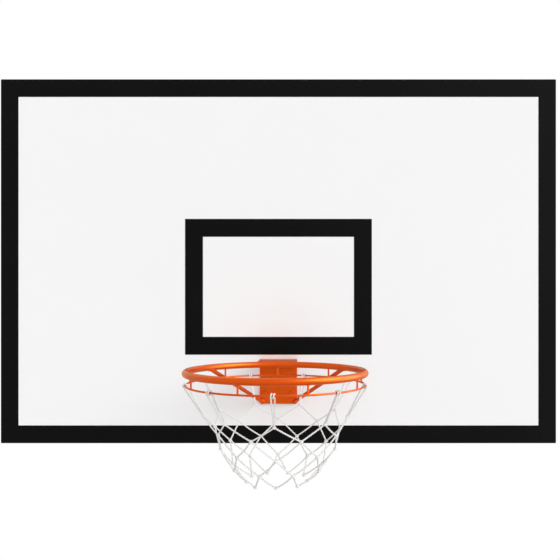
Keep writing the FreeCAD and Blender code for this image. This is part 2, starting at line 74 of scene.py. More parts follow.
def mixColour(tree, factor, first, second):
    node = addNode(tree, "ShaderNodeMix", data_type="RGBA")
    for slot, source in ((0, factor), (6, first), (7, second)):  # its sockets for colours
        if isinstance(source, tuple):
            node.inputs[slot].default_value = source
        else:
            tree.links.new(source, node.inputs[slot])
    return node.outputs[2]


# 0 at the low value, 1 at the high one
def ramp(tree, source, low, high):
    node = addNode(tree, "ShaderNodeMapRange", clamp=True)
    tree.links.new(source, node.inputs["Value"])
    node.inputs["From Min"].default_value = low
    node.inputs["From Max"].default_value = high
    return node.outputs["Result"]


# a mask of 0 to 1 spread between two values
def spread(tree, mask, low, high):
    node = addNode(tree, "ShaderNodeMapRange")
    tree.links.new(mask, node.inputs["Value"])
    node.inputs["To Min"].default_value = low
    node.inputs["To Max"].default_value = high
    return node.outputs["Result"]


def splitVector(tree, vector):
    node = addNode(tree, "ShaderNodeSeparateXYZ")
    tree.links.new(vector, node.inputs[0])
    return node.outputs


def colour(red, green, blue):
    return (red, green, blue, 1.0)


def newGroup(name, inputs, outputs):
    group = bpy.data.node_groups.new(name, "ShaderNodeTree")
    for label, value in inputs:
        socket = group.interface.new_socket(label, in_out="INPUT", socket_type="NodeSocketFloat")
        socket.default_value = value
    for label in outputs:
        group.interface.new_socket(label, in_out="OUTPUT", socket_type="NodeSocketFloat")
    return group, addNode(group, "NodeGroupInput"), addNode(group, "NodeGroupOutput")


def noise(tree, coords, scale, detail):
    node = addNode(tree, "ShaderNodeTexNoise")
    node.inputs["Detail"].default_value = detail
    tree.links.new(coords, node.inputs["Vector"])
    if isinstance(scale, (int, float)):
        node.inputs["Scale"].default_value = scale
    else:
        tree.links.new(scale, node.inputs["Scale"])
    return node.outputs["Fac"]


# skin of a coat: fine grain, slow unevenness in its tone, specks, rubbed edges and dust on what faces up
skinLook = dict(skinScale=900.0, skinDetail=2.0, cloudScale=6.0, cloudDetail=3.0,
                speckShare=0.23, speckDetail=6.0, speck=(0.66, 0.74),
                edgeReach=0.0016, edgeSamples=4, edgeTurn=(0.03, 0.2),
                rubScale=55.0, rubDetail=5.0, rub=(0.48, 0.62),
                facingUp=(0.6, 0.95), settle=(0.3, 0.7))


def makeCoatSkin(look):
    scales = [("Skin Scale", look["skinScale"]), ("Cloud Scale", look["cloudScale"])]
    group, given, put = newGroup("coatSkin", scales, ["Skin", "Cloud", "Speck", "Edge", "Dust"])
    coords = addNode(group, "ShaderNodeTexCoord").outputs["Object"]
    skin = noise(group, coords, given.outputs["Skin Scale"], look["skinDetail"])
    cloud = noise(group, coords, given.outputs["Cloud Scale"], look["cloudDetail"])
    speckScale = mathNode(group, "MULTIPLY", given.outputs["Skin Scale"], look["speckShare"])
    speck = noise(group, coords, speckScale, look["speckDetail"])
    shape = addNode(group, "ShaderNodeNewGeometry")
    eased = addNode(group, "ShaderNodeBevel", samples=look["edgeSamples"])
    eased.inputs["Radius"].default_value = look["edgeReach"]
    agree = addNode(group, "ShaderNodeVectorMath", operation="DOT_PRODUCT")
    group.links.new(eased.outputs["Normal"], agree.inputs[0])
    group.links.new(shape.outputs["Normal"], agree.inputs[1])
    turned = ramp(group, mathNode(group, "SUBTRACT", 1.0, agree.outputs["Value"]), *look["edgeTurn"])
    rubbed = ramp(group, noise(group, coords, look["rubScale"], look["rubDetail"]), *look["rub"])
    upward = ramp(group, splitVector(group, shape.outputs["True Normal"])["Z"], *look["facingUp"])
    settled = mathNode(group, "MULTIPLY", upward, ramp(group, cloud, *look["settle"]))
    group.links.new(skin, put.inputs["Skin"])
    group.links.new(cloud, put.inputs["Cloud"])
    group.links.new(ramp(group, speck, *look["speck"]), put.inputs["Speck"])
    group.links.new(mathNode(group, "MULTIPLY", turned, rubbed), put.inputs["Edge"])
    group.links.new(settled, put.inputs["Dust"])
    return group


coatSkin = makeCoatSkin(skinLook)


def newMaterial(name):
    material = bpy.data.materials.new(name)
    material.use_nodes = True
    tree = material.node_tree
    return material, tree, tree.nodes["Principled BSDF"]


def placeSkin(tree, skinScale, cloudScale):
    node = addNode(tree, "ShaderNodeGroup", node_tree=coatSkin)
    node.inputs["Skin Scale"].default_value = skinScale
    node.inputs["Cloud Scale"].default_value = cloudScale
    return node.outputs


def addBump(tree, shader, height, distance, strength=1.0):
    bump = addNode(tree, "ShaderNodeBump")
    bump.inputs["Distance"].default_value = distance
    bump.inputs["Strength"].default_value = strength
    tree.links.new(height, bump.inputs["Height"])
    tree.links.new(bump.outputs["Normal"], shader.inputs["Normal"])


courtDust = colour(0.45, 0.42, 0.38)
plainShine = colour(1, 1, 1)


# one painted or plated finish: clouded base tone, pale specks, rubbed edges, settled dust and a fine skin
def makeCoat(name, look):
    material, tree, shader = newMaterial(name)
    skin = placeSkin(tree, look["skinScale"], look["cloudScale"])
    tone = mixColour(tree, skin["Cloud"], look["deep"], look["bright"])
    tone = mixColour(tree, mathNode(tree, "MULTIPLY", skin["Speck"], look["specks"]), tone, look["speck"])
    tone = mixColour(tree, mathNode(tree, "MULTIPLY", skin["Edge"], look["wear"]), tone, look["worn"])
    tone = mixColour(tree, mathNode(tree, "MULTIPLY", skin["Dust"], look["dusty"]), tone, courtDust)
    tree.links.new(tone, shader.inputs["Base Color"])
    rough = spread(tree, skin["Skin"], look["smooth"], look["rough"])
    tree.links.new(rough, shader.inputs["Roughness"])
    shader.inputs["Metallic"].default_value = look["metallic"]
    shader.inputs["Specular IOR Level"].default_value = look["specular"]
    shader.inputs["Specular Tint"].default_value = look["shine"]
    addBump(tree, shader, skin["Skin"], look["bump"])
    return material


rimLook = dict(deep=colour(0.55, 0.024, 0.0003), bright=colour(0.73, 0.058, 0.0005),
               speck=colour(0.9, 0.22, 0.01), worn=colour(0.85, 0.3, 0.08), shine=colour(1.0, 0.95, 0.14),
               skinScale=700.0, cloudScale=9.0, specks=0.12, wear=0.45, dusty=0.02,
               smooth=0.26, rough=0.4, bump=0.00013, specular=1.0, metallic=0.35)
frameLook = dict(deep=colour(0.05, 0.053, 0.057), bright=colour(0.085, 0.088, 0.093),
                 speck=colour(0.22, 0.22, 0.22), worn=colour(0.3, 0.3, 0.3), shine=plainShine,
                 skinScale=800.0, cloudScale=5.0, specks=0.25, wear=0.5, dusty=0.22,
                 smooth=0.42, rough=0.58, bump=0.0002, specular=0.5, metallic=0.0)
zincLook = dict(deep=colour(0.5, 0.5, 0.51), bright=colour(0.72, 0.73, 0.74),
                speck=colour(0.85, 0.83, 0.74), worn=colour(0.8, 0.8, 0.8), shine=plainShine,
                skinScale=1500.0, cloudScale=140.0, specks=0.3, wear=0.4, dusty=0.1,
                smooth=0.24, rough=0.42, bump=0.00005, specular=0.5, metallic=1.0)
lineLook = dict(deep=colour(0.0022, 0.0022, 0.0023), bright=colour(0.0048, 0.0048, 0.0049),
                speck=colour(0.014, 0.014, 0.014), worn=colour(0.03, 0.03, 0.03), shine=plainShine,
                skinScale=1100.0, cloudScale=4.0, specks=0.3, wear=0.3, dusty=0.0,
                smooth=0.5, rough=0.66, bump=0.00008, specular=0.04, metallic=0.0)

rimCoat = makeCoat("rimOrangeCoat", rimLook)
frameCoat = makeCoat("frameGreyCoat", frameLook)
zincPlate = makeCoat("zincPlate", zincLook)
lineBlack = makeCoat("lineBlackFilm", lineLook)


# white laminate on both faces of the panel, its cut edges sealed in black
panelLook = dict(white=colour(0.885, 0.885, 0.885), grey=colour(0.868, 0.869, 0.871),
                 edge=colour(0.006, 0.006, 0.006), faceTurn=0.9, skinScale=420.0, cloudScale=2.2,
                 smooth=0.62, rough=0.74, edgeMatt=0.5, bump=0.00006, specular=0.1)


def makeLaminate(look):
    material, tree, shader = newMaterial("whiteLaminate")
    skin = placeSkin(tree, look["skinScale"], look["cloudScale"])
    normal = addNode(tree, "ShaderNodeNewGeometry").outputs["True Normal"]
    turn = mathNode(tree, "ABSOLUTE", splitVector(tree, normal)["Y"])
    onFace = mathNode(tree, "GREATER_THAN", turn, look["faceTurn"])
    face = mixColour(tree, skin["Cloud"], look["grey"], look["white"])
    tree.links.new(mixColour(tree, onFace, look["edge"], face), shader.inputs["Base Color"])
    rough = spread(tree, skin["Cloud"], look["smooth"], look["rough"])
    matt = mathNode(tree, "MULTIPLY", mathNode(tree, "SUBTRACT", 1.0, onFace), look["edgeMatt"])
    tree.links.new(mathNode(tree, "ADD", rough, matt, clamp=True), shader.inputs["Roughness"])
    shader.inputs["Specular IOR Level"].default_value = look["specular"]
    addBump(tree, shader, skin["Skin"], look["bump"])
    return material


laminate = makeLaminate(panelLook)


# rim bolts: heads sprayed with the rim, shanks left zinc plated behind the board's face
def makeBoltFinish(look, metal, divide):
    material, tree, shader = newMaterial("boltFinish")
    skin = placeSkin(tree, look["skinScale"], look["cloudScale"])
    coords = addNode(tree, "ShaderNodeTexCoord").outputs["Object"]
    behind = mathNode(tree, "GREATER_THAN", splitVector(tree, coords)["Y"], divide)
    paint = mixColour(tree, skin["Cloud"], look["deep"], look["bright"])
    plate = mixColour(tree, skin["Cloud"], metal["deep"], metal["bright"])
    tree.links.new(mixColour(tree, behind, paint, plate), shader.inputs["Base Color"])
    bare = mathNode(tree, "MULTIPLY", behind, metal["metallic"] - look["metallic"])
    tree.links.new(mathNode(tree, "ADD", bare, look["metallic"]), shader.inputs["Metallic"])
    shader.inputs["Roughness"].default_value = look["rough"]
    shader.inputs["Specular IOR Level"].default_value = look["specular"]
    shader.inputs["Specular Tint"].default_value = look["shine"]
    addBump(tree, shader, skin["Skin"], metal["bump"])
    return material


boltFinish = makeBoltFinish(rimLook, zincLook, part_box("rim_bracket")[1][1])


def dress(material, *names):
    for name in names:
        slots = parts[name].data.materials
        slots.clear()
        slots.append(material)


tubes = [name for name in parts if name.startswith(("frame_", "goal_", "mount_ear"))]
dress(laminate, "board_panel")
dress(lineBlack, "border_lines", "target_lines")
dress(frameCoat, "fixing_cleats", *tubes)
dress(rimCoat, "rim_ring", "rim_bracket", "rim_brace_left", "rim_brace_right", "net_wire", "net_wire_posts")
dress(boltFinish, "rim_bolts")
dress(zincPlate, "cleat_screws", "rim_washers", "rim_nuts")
print("CAD nodes dressed")


# white laid cord: fibres run along its strands, with paler fuzz and a little court dust; the hollows
# between the fibres are painted darker in its colour as painted shade
cordLook = dict(bright=colour(0.9, 0.9, 0.89), shadedHollow=colour(0.66, 0.645, 0.615),
                dust=colour(0.64, 0.61, 0.56), fibres=(26.0, 64.0, 1.0), fibreScale=1.0, fibreDetail=3.0,
                fibreShare=0.75, fuzzShare=0.25, fuzzScale=2600.0, dustScale=60.0, shade=(0.3, 0.56),
                specks=0.25, dusty=0.12, hollowRough=0.95, crownRough=0.72, specular=0.2, sheen=0.2,
                bump=0.0004, bumpStrength=0.8)


def makeCordCloth(look):
    material, tree, shader = newMaterial("whiteNetCord")
    skin = placeSkin(tree, look["fuzzScale"], look["dustScale"])
    along = addNode(tree, "ShaderNodeMapping")
    along.inputs["Scale"].default_value = look["fibres"]
    tree.links.new(addNode(tree, "ShaderNodeTexCoord").outputs["UV"], along.inputs["Vector"])
    fibre = noise(tree, along.outputs["Vector"], look["fibreScale"], look["fibreDetail"])
    fuzz = mathNode(tree, "MULTIPLY", skin["Skin"], look["fuzzShare"])
    mixed = mathNode(tree, "ADD", mathNode(tree, "MULTIPLY", fibre, look["fibreShare"]), fuzz)
    # painted shade: the base colour goes darker in the hollows between the fibres
    tone = mixColour(tree, ramp(tree, mixed, *look["shade"]), look["shadedHollow"], look["bright"])
    tone = mixColour(tree, mathNode(tree, "MULTIPLY", skin["Speck"], look["specks"]), tone, look["dust"])
    tone = mixColour(tree, mathNode(tree, "MULTIPLY", skin["Cloud"], look["dusty"]), tone, look["dust"])
    tree.links.new(tone, shader.inputs["Base Color"])
    rough = spread(tree, mixed, look["hollowRough"], look["crownRough"])
    tree.links.new(rough, shader.inputs["Roughness"])
    shader.inputs["Specular IOR Level"].default_value = look["specular"]
    shader.inputs["Sheen Weight"].default_value = look["sheen"]
    addBump(tree, shader, mixed, look["bump"], look["bumpStrength"])
    return material


cordCloth = makeCordCloth(cordLook)


# hoop measures, read from the wire that the net hangs on
wireLow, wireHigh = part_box("net_wire")
wireBar = wireHigh[2] - wireLow[2]
wireZ = (wireLow[2] + wireHigh[2]) / 2
hoopY = (wireLow[1] + wireHigh[1]) / 2
hoopRadius = (wireHigh[0] - wireLow[0] - wireBar) / 2


# a point round the hoop's middle, with 0 degrees at the front
def onHoop(degrees, radius, height):
    turn = math.radians(degrees)
    return Vector((radius * math.sin(turn), hoopY - radius * math.cos(turn), height))


# select these pieces alone, the first of them active
def pick(*pieces):
    bpy.ops.object.select_all(action="DESELECT")
    for piece in pieces:
        piece.select_set(True)
    bpy.context.view_layer.objects.active = pieces[0]


def finishPiece(piece, name, material):
    piece.name = name
    piece.data.name = name
    piece.data.materials.clear()
    piece.data.materials.append(material)
    pick(piece)
    bpy.ops.object.transform_apply(location=True, rotation=True, scale=True)
    return piece


def joinPieces(pieces):
    pick(*pieces)
    bpy.ops.object.join()
    return bpy.context.object


# a copy with a mesh of its own, put in its place
def placeCopy(name, model, move):
    copy = bpy.data.objects.new(name, model.data.copy())
    copy.data.transform(move)
    bpy.context.collection.objects.link(copy)
    return copy


mergeReach = 0.000002


# a curve made into a mesh, with its ends welded shut and every face turned outwards
def meshFromCurve(name, data):
    piece = bpy.data.objects.new(name, data)
    bpy.context.collection.objects.link(piece)
    pick(piece)
    bpy.ops.object.convert(target="MESH")
    bpy.ops.object.mode_set(mode="EDIT")
    bpy.ops.mesh.select_all(action="SELECT")
    bpy.ops.mesh.remove_doubles(threshold=mergeReach)
    bpy.ops.mesh.normals_make_consistent(inside=False)
    bpy.ops.object.mode_set(mode="OBJECT")
    bpy.ops.object.shade_smooth()
    return bpy.context.object


# closed outline of a laid cord: one lobe for each of its strands
def makeLaidProfile(radius, lobes, depth, count):
    outline = bpy.data.curves.new("laidProfile", "CURVE")
    outline.dimensions = "2D"
    line = outline.splines.new("POLY")
    line.points.add(count - 1)
    for index, point in enumerate(line.points):
        turn = math.tau * index / count
        reach = radius * (1 - depth / 2 + depth / 2 * math.cos(lobes * turn))
        point.co = (reach * math.cos(turn), reach * math.sin(turn), 0, 1)
    line.use_cyclic_u = True
    profile = bpy.data.objects.new("laidProfile", outline)
    bpy.context.collection.objects.link(profile)
    return profile


# points along the smooth line that a route's few points steer, at even steps
def readRoute(route, look):
    data = bpy.data.curves.new("route", "CURVE")
    data.dimensions = "3D"
    data.resolution_u = look["smooth"]
    line = data.splines.new("NURBS")
    line.points.add(len(route) - 1)
    for point, spot in zip(line.points, route):
        point.co = (*spot, 1)
    line.order_u = 3
    line.use_endpoint_u = True
    holder = bpy.data.objects.new("route", data)
    mesh = bpy.data.meshes.new_from_object(holder)
    spots = [vertex.co.copy() for vertex in mesh.vertices]
    bpy.data.objects.remove(holder)
    bpy.data.meshes.remove(mesh)
    bpy.data.curves.remove(data)
    reached = [0.0]
    for before, after in zip(spots, spots[1:]):
        reached.append(reached[-1] + (after - before).length)
    count = max(2, round(reached[-1] / look["step"]))
    even = []
    span = 0
    for index in range(count + 1):
        goal = reached[-1] * index / count
        while span < len(spots) - 2 and reached[span + 1] < goal:
            span += 1
        share = (goal - reached[span]) / (reached[span + 1] - reached[span])
        even.append(spots[span].lerp(spots[span + 1], share))
    return even


# laid cord along each route: the lobed profile turns once in each lay
def makeCords(name, routes, look):
    profile = makeLaidProfile(look["radius"], look["lobes"], look["lobeDepth"], look["profilePoints"])
    data = bpy.data.curves.new(name, "CURVE")
    data.dimensions = "3D"
    data.bevel_mode = "OBJECT"
    data.bevel_object = profile
    data.use_fill_caps = True
    for route in routes:
        spots = readRoute(route, look)
        line = data.splines.new("POLY")
        line.points.add(len(spots) - 1)
        for index, (point, spot) in enumerate(zip(line.points, spots)):
            point.co = (*spot, 1)
            point.tilt = math.tau * index * look["step"] / look["lay"]
    cords = meshFromCurve(name, data)
    bpy.data.objects.remove(profile, do_unlink=True)
    return cords


# the net: nine loops over the wire, then rows of diamond mesh drawn in towards the hem
netLook = dict(count=9, rowRadius=(0.1872, 0.1708, 0.1509, 0.124, 0.0819),
               rowDrop=(0.08, 0.1189, 0.1651, 0.2122, 0.252), drift=(0.002, 0.006, 0.007, 0.006, 0.004),
               radius=0.0022, lobes=3, lobeDepth=0.3, profilePoints=12, lay=0.016, smooth=24, step=0.0013,
               wander=0.0022, slack=0.0018, slackAt=(0.3, 0.7), straight=0.026, clear=0.0004,
               strandGap=0.0024, footShare=0.6, windings=1, windWide=0.0095, loopLean=88, loopStep=30,
               knotWrap=0.0033, knotCord=0.0019, knotTilt=24, knotTurn=12, innerWrap=0.8,
               knotSegments=14, knotSides=7, knotSpin=0.5, seed=7)


def placeKnots(look, chance):
    rows = []
    for row, (radius, drop, drift) in enumerate(zip(look["rowRadius"], look["rowDrop"], look["drift"])):
        wander = look["wander"] if row else 0.0
        spots = []
        for index in range(look["count"]):
            turn = 360 / look["count"] * (index + 0.5 * (row % 2))
            turn += math.degrees(chance.uniform(-wander, wander) / radius)
            reach = radius + chance.uniform(-wander, wander)
            height = wireZ - drop + chance.uniform(-wander, wander)
            spots.append(onHoop(turn, reach, height) + Vector((drift, 0, 0)))
        rows.append(spots)
    return rows


# a cord between two knots, steered by two points that let it droop and bow a little
def slackRoute(start, end, look, chance):
    droop = Vector((chance.uniform(-1, 1), chance.uniform(-1, 1), -1)) * look["slack"]
    return [start] + [start.lerp(end, share) + droop for share in look["slackAt"]] + [end]


# one tied knot of three wraps, its face along Z
def makeKnot(look):
    outer = look["knotWrap"]
    inner = look["knotWrap"] * look["innerWrap"]
    turns = [(outer, (90 + look["knotTilt"], 0, 0)), (outer, (90 - look["knotTilt"], 0, 0)),
             (inner, (0, 90, look["knotTurn"]))]
    wraps = []
    for radius, degrees in turns:
        bpy.ops.object.select_all(action="DESELECT")
        bpy.ops.mesh.primitive_torus_add(major_segments=look["knotSegments"], major_radius=radius,
                                         minor_segments=look["knotSides"], minor_radius=look["knotCord"],
                                         rotation=[math.radians(turn) for turn in degrees])
        wraps.append(bpy.context.object)
    knot = joinPieces(wraps)
    bpy.ops.object.transform_apply(location=True, rotation=True, scale=True)
    bpy.ops.object.shade_smooth()
    return knot


def tieKnots(knot, rows, look, chance):
    up = Vector((0, 0, 1))
    copies = []
    for spots in rows:
        for spot in spots:
            outward = Vector((spot.x, spot.y - hoopY, 0)).normalized()
            turn = Matrix((up.cross(outward), up, outward)).transposed().to_4x4()
            spin = Matrix.Rotation(chance.uniform(-look["knotSpin"], look["knotSpin"]), 4, "Z")
            copies.append(placeCopy("knot", knot, Matrix.Translation(spot) @ turn @ spin))
    bpy.data.objects.remove(knot, do_unlink=True)
    return copies


def makeNetMesh(rows, look, chance):
    routes = []
    for row, (upper, lower) in enumerate(zip(rows, rows[1:])):
        back = -1 if row % 2 == 0 else 1
        for index, spot in enumerate(upper):
            for neighbour in (index, index + back):
                routes.append(slackRoute(spot, lower[neighbour % len(lower)], look, chance))
    cords = makeCords("netMesh", routes, look)
    knots = tieKnots(makeKnot(look), rows, look, chance)
    return finishPiece(joinPieces([cords] + knots), "netMesh", cordCloth)


# each loop goes up from its knot, twice over the wire and down again
def makeNetLoops(rows, look):
    routes = []
    hold = wireBar / 2 + look["clear"] + look["radius"]
    lean = math.radians(look["loopLean"])
    sweep = 2 * lean + math.tau * look["windings"]
    steps = round(sweep / math.radians(look["loopStep"]))
    reach = hold / math.cos(sweep / steps / 2)
    for index, knot in enumerate(rows[0]):
        top = onHoop(360 / look["count"] * index, hoopRadius, wireZ)
        outward = Vector((top.x, top.y - hoopY, 0)).normalized()
        beside = outward.cross(Vector((0, 0, 1)))
        down = (knot - top).normalized()
        across = (outward - down * outward.dot(down)).normalized()
        over = []
        for step in range(steps + 1):
            turn = lean - sweep * step / steps
            shift = beside * look["windWide"] * (0.5 - step / steps)
            over.append(top - down * reach * math.cos(turn) + across * reach * math.sin(turn) + shift)
        foot = across * look["strandGap"] * look["footShare"]
        upper = over[0] + (knot + foot - over[0]).normalized() * look["straight"]
        lower = over[-1] + (knot - foot - over[-1]).normalized() * look["straight"]
        routes.append([knot + foot, upper] + over + [lower, knot - foot])
    return finishPiece(makeCords("netLoops", routes, look), "netLoops", cordCloth)


def makeNet(look):
    chance = random.Random(look["seed"])
    rows = placeKnots(look, chance)
    loops = makeNetLoops(rows, look)
    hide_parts("net_top_loops")
    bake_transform(loops)
    mesh = makeNetMesh(rows, look, chance)
    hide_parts("net_mesh")
    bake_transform(mesh)
    print("net tied:", len(loops.data.polygons), "and", len(mesh.data.polygons), "faces")


makeNet(netLook)


# weld beads: a run of small ripples along each given line, thinner at both ends
beadLook = dict(step=0.0014, ripple=0.2, period=3, wobble=0.12, endShare=0.5, endGrow=0.25, sides=2)


def layBeads(name, runs, look, material, seed):
    chance = random.Random(seed)
    data = bpy.data.curves.new(name, "CURVE")
    data.dimensions = "3D"
    data.bevel_depth = 1.0  # each point's radius gives the width
    data.bevel_resolution = look["sides"]
    data.use_fill_caps = True
    for corners, width in runs:
        spots = []
        for start, end in zip(corners, corners[1:]):
            count = max(1, round((end - start).length / look["step"]))
            spots += [start.lerp(end, index / count) for index in range(count)]
        spots.append(corners[-1])
        line = data.splines.new("POLY")
        line.points.add(len(spots) - 1)
        for index, (point, spot) in enumerate(zip(line.points, spots)):
            fromEnd = min(index, len(spots) - 1 - index)
            taper = min(1.0, look["endShare"] + look["endGrow"] * fromEnd)
            ripple = look["ripple"] * math.sin(index * math.tau / look["period"])
            swell = 1 + ripple + chance.uniform(-1, 1) * look["wobble"]
            point.co = (*spot, 1)
            point.radius = width * taper * swell
    beads = finishPiece(meshFromCurve(name, data), name, material)
    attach(beads, "goal")
    print(name, "laid in", len(runs), "runs,", len(beads.data.polygons), "faces")


# where the rim's pieces meet: flange on ring, braces on ring and plate, posts on ring and wire
rimWeldLook = dict(flangeBead=0.0024, flangeSteps=40, plateThick=0.006,
                   braceBead=0.0022, braceInset=0.007, braceLift=0.007, braceSink=0.0015, braceBar=0.012,
                   braceTurn=124, braceSteps=24, halvings=24,
                   postBead=0.001, postReach=0.0027, postSteps=10, posts=9, seed=3)

ringLow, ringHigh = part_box("rim_ring")
ringBar = ringHigh[2] - ringLow[2]
ringZ = (ringLow[2] + ringHigh[2]) / 2


def ringDistance(spot):
    return math.hypot(math.hypot(spot.x, spot.y - hoopY) - hoopRadius, spot.z - ringZ)


def flangeRun(height, halfWidth, steps):
    reach = hoopRadius + math.sqrt((ringBar / 2) ** 2 - (height - ringZ) ** 2)
    limit = math.degrees(math.asin(halfWidth / reach))
    return [onHoop(180 - limit + 2 * limit * index / steps, reach, height) for index in range(steps + 1)]


def braceRuns(side, look):
    low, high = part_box("rim_bracket")
    plateFront = high[1] - look["plateThick"]
    footX = side * (high[0] - look["braceInset"])
    foot = Vector((footX, plateFront + look["braceSink"], low[2] + look["braceLift"]))
    head = onHoop(side * look["braceTurn"], hoopRadius, ringZ)
    along = (head - foot).normalized()
    right = along.cross(Vector((0, 0, 1))).normalized()
    over = right.cross(along)
    atPlate = []
    atRing = []
    for index in range(look["braceSteps"] + 1):
        turn = math.tau * index / look["braceSteps"]
        start = foot + (right * math.cos(turn) + over * math.sin(turn)) * look["braceBar"] / 2
        atPlate.append(start + along * (plateFront - start.y) / along.y)
        near = 0.0
        far = (head - foot).length
        for halving in range(look["halvings"]):
            middle = (near + far) / 2
            if ringDistance(start + along * middle) > ringBar / 2:
                near = middle
            else:
                far = middle
        atRing.append(start + along * near)
    return [(atPlate, look["braceBead"]), (atRing, look["braceBead"])]


def circleRun(middle, radius, steps):
    turns = [math.tau * index / steps for index in range(steps + 1)]
    return [middle + Vector((radius * math.cos(turn), radius * math.sin(turn), 0)) for turn in turns]


def makeRimWelds(look):
    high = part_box("rim_bracket")[1]
    runs = []
    for height in (high[2], high[2] - look["plateThick"]):
        runs.append((flangeRun(height, high[0], look["flangeSteps"]), look["flangeBead"]))
    for side in (-1, 1):
        runs += braceRuns(side, look)
    for index in range(look["posts"]):
        turn = 360 / look["posts"] * (index + 0.5)
        for height in (ringZ - ringBar / 2, wireZ + wireBar / 2):
            middle = onHoop(turn, hoopRadius, height)
            runs.append((circleRun(middle, look["postReach"], look["postSteps"]), look["postBead"]))
    layBeads("rimWelds", runs, beadLook, rimCoat, look["seed"])


makeRimWelds(rimWeldLook)


# frame joints: a flat bead over each seam at the back and a fillet down both sides of it
frameWeldLook = dict(bead=0.0019, fillet=0.0024, edge=0.006, sink=0.0004, mitre=(0.1, 0.95),
                     stitch=0.03, stitches=(-0.7, 0.0, 0.7), earRound=0.015, earSink=0.001,
                     cleatApart=0.08, cleatTouch=0.001, seed=4)


# a tube's end meets another tube in the plane where the given axis has the value at
def seam(low, high, axis, at, look):
    other = 2 if axis == 0 else 0
    rear = high[1] - look["sink"]
    edge = look["edge"]

    def spot(across, depth):
        values = [0.0, depth, 0.0]
        values[axis] = at
        values[other] = across
        return Vector(values)

    runs = [([spot(low[other] + edge, rear), spot(high[other] - edge, rear)], look["bead"])]
    for across in (low[other], high[other]):
        runs.append(([spot(across, low[1] + edge), spot(across, high[1] - edge)], look["fillet"]))
    return runs


# the outer tubes' four mitred corners, at the back and down the inner corner
def mitreRuns(look):
    low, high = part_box("frame_top_rail")
    side = high[2] - low[2]
    rear = high[1] - look["sink"]
    runs = []
    for across in (-1, 1):
        for up in (-1, 1):
            outer = Vector((across * high[0], rear, up * high[2]))
            inner = Vector((across * (high[0] - side), rear, up * (high[2] - side)))
            runs.append(([outer.lerp(inner, share) for share in look["mitre"]], look["bead"]))
            front = Vector((inner.x, low[1] + look["edge"], inner.z))
            back = Vector((inner.x, high[1] - look["edge"], inner.z))
            runs.append(([front, back], look["fillet"]))
    return runs


# the backing plate's stitches on both crossbars
def stitchRuns(look):
    low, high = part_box("goal_mounting_plate")
    half = Vector((look["stitch"] / 2, 0, 0))
    runs = []
    for height in (low[2], high[2]):
        for share in look["stitches"]:
            middle = Vector((share * high[0], high[1], height))
            runs.append(([middle - half, middle + half], look["fillet"]))
    return runs


# each ear is welded round the part of it that lies on its upright
def earRuns(look):
    runs = []
    for name in [name for name in parts if name.startswith("mount_ear")]:
        low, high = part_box(name)
        away = 1 if high[0] > 0 else -1
        tubeLow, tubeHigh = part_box("frame_right_upright" if away > 0 else "frame_left_upright")
        inside = low[0] if away > 0 else high[0]
        outside = tubeHigh[0] if away > 0 else tubeLow[0]
        for height in (low[2], high[2]):
            runs.append(([Vector((inside + away * look["earRound"], low[1], height)),
                          Vector((outside - away * look["edge"], low[1], height))], look["fillet"]))
        runs.append(([Vector((inside, low[1], low[2] + look["earRound"])),
                      Vector((inside, low[1], high[2] - look["earRound"]))], look["fillet"]))
        sunkX = outside - away * look["earSink"]
        sunkY = low[1] - look["earSink"]
        runs.append(([Vector((sunkX, sunkY, low[2] + look["edge"])),
                      Vector((sunkX, sunkY, high[2] - look["edge"]))], look["fillet"]))
    return runs


# boxes of a node's separate pieces
def clusterBoxes(name, apart):
    groups = []
    for vertex in parts[name].data.vertices:
        for group in groups:
            if (group[0] - vertex.co).length < apart:
                group.append(vertex.co)
                break
        else:
            groups.append([vertex.co])
    boxes = []
    for group in groups:
        low = Vector([min(spot[axis] for spot in group) for axis in range(3)])
        high = Vector([max(spot[axis] for spot in group) for axis in range(3)])
        boxes.append((low, high))
    return boxes


# a cleat's leg is welded along its rear edge to the tube that it lies against
def cleatRuns(look):
    runs = []
    tubeBoxes = [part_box(name) for name in parts if name.startswith("frame_")]
    for low, high in clusterBoxes("fixing_cleats", look["cleatApart"]):
        for tubeLow, tubeHigh in tubeBoxes:
            for axis, other in ((0, 2), (2, 0)):
                middle = (low[other] + high[other]) / 2
                if not tubeLow[other] < middle < tubeHigh[other]:
                    continue
                for mine, theirs in ((low[axis], tubeHigh[axis]), (high[axis], tubeLow[axis])):
                    if abs(mine - theirs) > look["cleatTouch"]:
                        continue
                    start = Vector((0, high[1], 0))
                    end = Vector((0, high[1], 0))
                    start[axis] = theirs
                    end[axis] = theirs
                    start[other] = low[other] + look["edge"]
                    end[other] = high[other] - look["edge"]
                    runs.append(([start, end], look["fillet"]))
    return runs


def makeFrameWelds(look):
    runs = []
    for name in ("frame_left_upright", "frame_right_upright"):
        low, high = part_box(name)
        runs += seam(low, high, 2, low[2], look) + seam(low, high, 2, high[2], look)
    for name in ("frame_left_midrail", "frame_right_midrail", "goal_crossbar_upper", "goal_crossbar_lower"):
        low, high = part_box(name)
        runs += seam(low, high, 0, low[0], look) + seam(low, high, 0, high[0], look)
    runs += mitreRuns(look) + stitchRuns(look) + earRuns(look) + cleatRuns(look)
    layBeads("frameWelds", runs, beadLook, frameCoat, look["seed"])


makeFrameWelds(frameWeldLook)


# cleat screws: pan heads with a cross recess, one modelled and the rest copied from it
screwLook = dict(head=0.0055, tall=0.0034, headSides=28, inset=0.0002, ease=0.0016, easeSteps=4,
                 shank=0.0025, tipShare=0.3, shankSides=16, length=0.0165,
                 crossWide=0.0014, crossLong=0.0062, crossDeep=0.0018,
                 apart=0.03, smoothBelow=35, seed=9)


